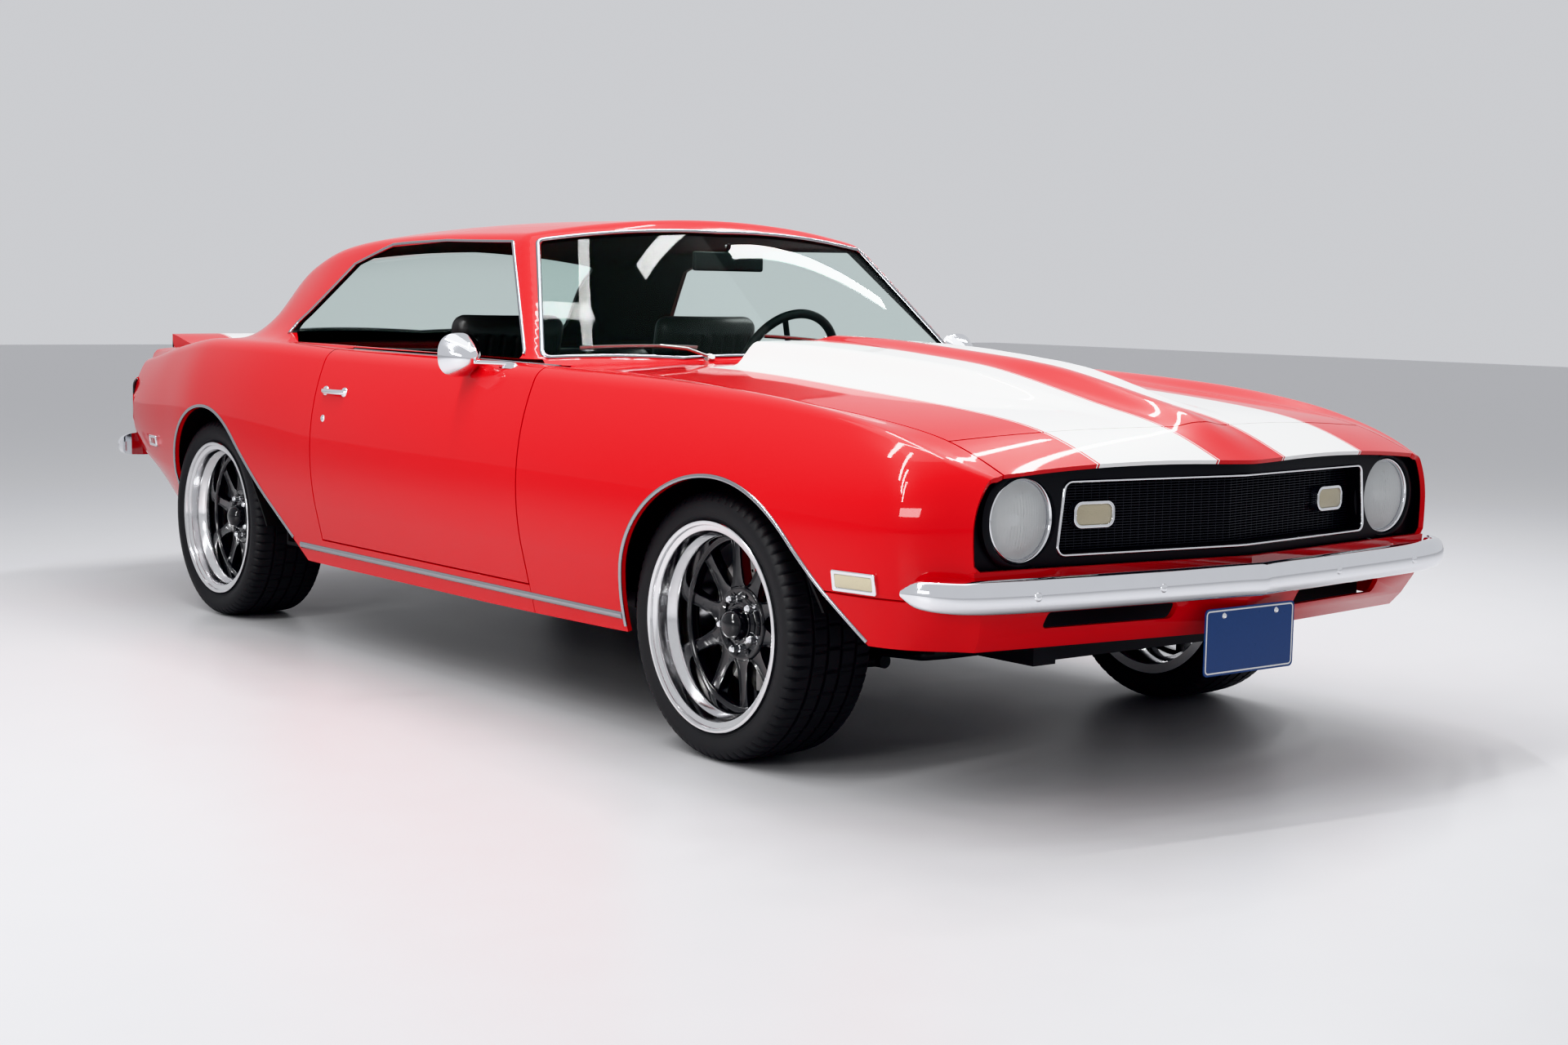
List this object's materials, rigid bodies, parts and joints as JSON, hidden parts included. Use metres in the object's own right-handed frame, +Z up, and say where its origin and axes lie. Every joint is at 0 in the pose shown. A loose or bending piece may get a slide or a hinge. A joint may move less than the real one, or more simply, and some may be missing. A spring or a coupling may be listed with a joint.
{
  "type": "muscle car",
  "caption": "Late-1960s two-door hardtop muscle car, red with white hood stripes, with turning wheels, steering, doors, hood and trunk lid",
  "frame": {"origin": "on the floor under the middle of the car: mid length, mid width, bottom of the tyres", "axes": "+Z up, -Y towards the nose, +X towards the car's own left side"},
  "size_m": [1.934, 4.6979, 1.2998],
  "materials": {
    "red_paint": "gloss",
    "black_paint": "satin",
    "chrome": "polished",
    "polished_alloy": "polished",
    "bare_steel": "satin",
    "cast_iron": "rough",
    "tyre": "matte",
    "clear_glass": "clear",
    "lamp_glass": "clear",
    "red_lens": "clear",
    "black_plastic": "matte",
    "black_vinyl": "satin",
    "plate_blue": "gloss",
    "aluminised_steel": "satin"
  },
  "bodies": {
    "car_body": {"anti_roll_bar": "black_paint", "cabin_mirror": "black_plastic", "console": "black_plastic", "control_arms": "black_paint", "cowl_panel": "red_paint", "dashboard": "black_vinyl", "driveshaft": "bare_steel", "engine_block": "cast_iron", "exhaust": "aluminised_steel", "fenders": "red_paint", "floor_pan": "black_paint", "front_bumper": "chrome", "front_plate": "plate_blue", "front_seats": "black_vinyl", "front_subframe": "black_paint", "front_valance": "red_paint", "fuel_tank": "black_paint", "grille": "black_plastic", "grille_surround": "black_paint", "header_panel": "red_paint", "headlamps": "lamp_glass", "inner_fenders": "black_paint", "leaf_springs": "black_paint", "park_lamps": "lamp_glass", "quarter_panels": "red_paint", "radiator": "black_paint", "rear_axle": "cast_iron", "rear_bumper": "chrome", "rear_seat": "black_vinyl", "rear_window": "clear_glass", "rocker_panels": "red_paint", "roof_panel": "red_paint", "side_markers": "chrome", "steering_column": "black_paint", "tail_lamps": "red_lens", "tail_panel": "red_paint", "windshield": "clear_glass"},
    "hood": {"hood": "red_paint"},
    "trunk_lid": {"trunk_lid": "red_paint"},
    "door_left": {"door_left": "red_paint", "door_mirror_left": "chrome", "door_handle_left": "chrome"},
    "door_right": {"door_right": "red_paint", "door_mirror_right": "chrome", "door_handle_right": "chrome"},
    "knuckle_left": {"knuckle_left": "cast_iron"},
    "knuckle_right": {"knuckle_right": "cast_iron"},
    "steering_rod": {"steering_rod": "bare_steel"},
    "steering_wheel": {"steering_wheel": "black_plastic"},
    "wheel_front_left": {"wheel_front_left": "polished_alloy", "tyre_front_left": "tyre"},
    "wheel_front_right": {"wheel_front_right": "polished_alloy", "tyre_front_right": "tyre"},
    "wheel_rear_left": {"wheel_rear_left": "polished_alloy", "tyre_rear_left": "tyre"},
    "wheel_rear_right": {"wheel_rear_right": "polished_alloy", "tyre_rear_right": "tyre"}
  },
  "joints": [
    {"name": "steer_left", "type": "hinge", "parent": "car_body", "child": "knuckle_left", "pos_m": [0.64, -1.417, 0.318], "axis": [0, 0, 1], "range_deg": [-30, 30]},
    {"name": "steer_right", "type": "hinge", "parent": "car_body", "child": "knuckle_right", "pos_m": [-0.64, -1.417, 0.318], "axis": [0, 0, 1], "range_deg": [-30, 30]},
    {"name": "steering_rod_slide", "type": "slide", "parent": "car_body", "child": "steering_rod", "axis": [1, 0, 0], "range_m": [-0.069, 0.069]},
    {"name": "steering_wheel_turn", "type": "hinge", "parent": "car_body", "child": "steering_wheel", "pos_m": [0.37, -0.132, 0.862], "axis": [0, 0.9272, 0.3746], "range_deg": [-485, 485]},
    {"name": "wheel_front_left_spin", "type": "hinge", "parent": "knuckle_left", "child": "wheel_front_left", "pos_m": [0.745, -1.417, 0.318], "axis": [1, 0, 0], "continuous": true},
    {"name": "wheel_front_right_spin", "type": "hinge", "parent": "knuckle_right", "child": "wheel_front_right", "pos_m": [-0.745, -1.417, 0.318], "axis": [1, 0, 0], "continuous": true},
    {"name": "wheel_rear_left_spin", "type": "hinge", "parent": "car_body", "child": "wheel_rear_left", "pos_m": [0.738, 1.329, 0.323], "axis": [1, 0, 0], "continuous": true},
    {"name": "wheel_rear_right_spin", "type": "hinge", "parent": "car_body", "child": "wheel_rear_right", "pos_m": [-0.738, 1.329, 0.323], "axis": [1, 0, 0], "continuous": true},
    {"name": "door_left_hinge", "type": "hinge", "parent": "car_body", "child": "door_left", "pos_m": [0.922, -0.647, 0.6], "axis": [0, 0, -1], "range_deg": [0, 65]},
    {"name": "door_right_hinge", "type": "hinge", "parent": "car_body", "child": "door_right", "pos_m": [-0.922, -0.647, 0.6], "axis": [0, 0, 1], "range_deg": [0, 65]},
    {"name": "hood_hinge", "type": "hinge", "parent": "car_body", "child": "hood", "pos_m": [0, -0.825, 0.903], "axis": [-1, 0, 0], "range_deg": [0, 50]},
    {"name": "trunk_lid_hinge", "type": "hinge", "parent": "car_body", "child": "trunk_lid", "pos_m": [0, 1.564, 0.905], "axis": [1, 0, 0], "range_deg": [0, 70]}
  ],
  "couplings": [
    {"joint": "steer_right", "follows": "steer_left", "ratio": 1},
    {"joint": "steering_rod_slide", "follows": "steer_left", "m_per_rad": -0.13},
    {"joint": "steering_wheel_turn", "follows": "steer_left", "ratio": 16}
  ]
}
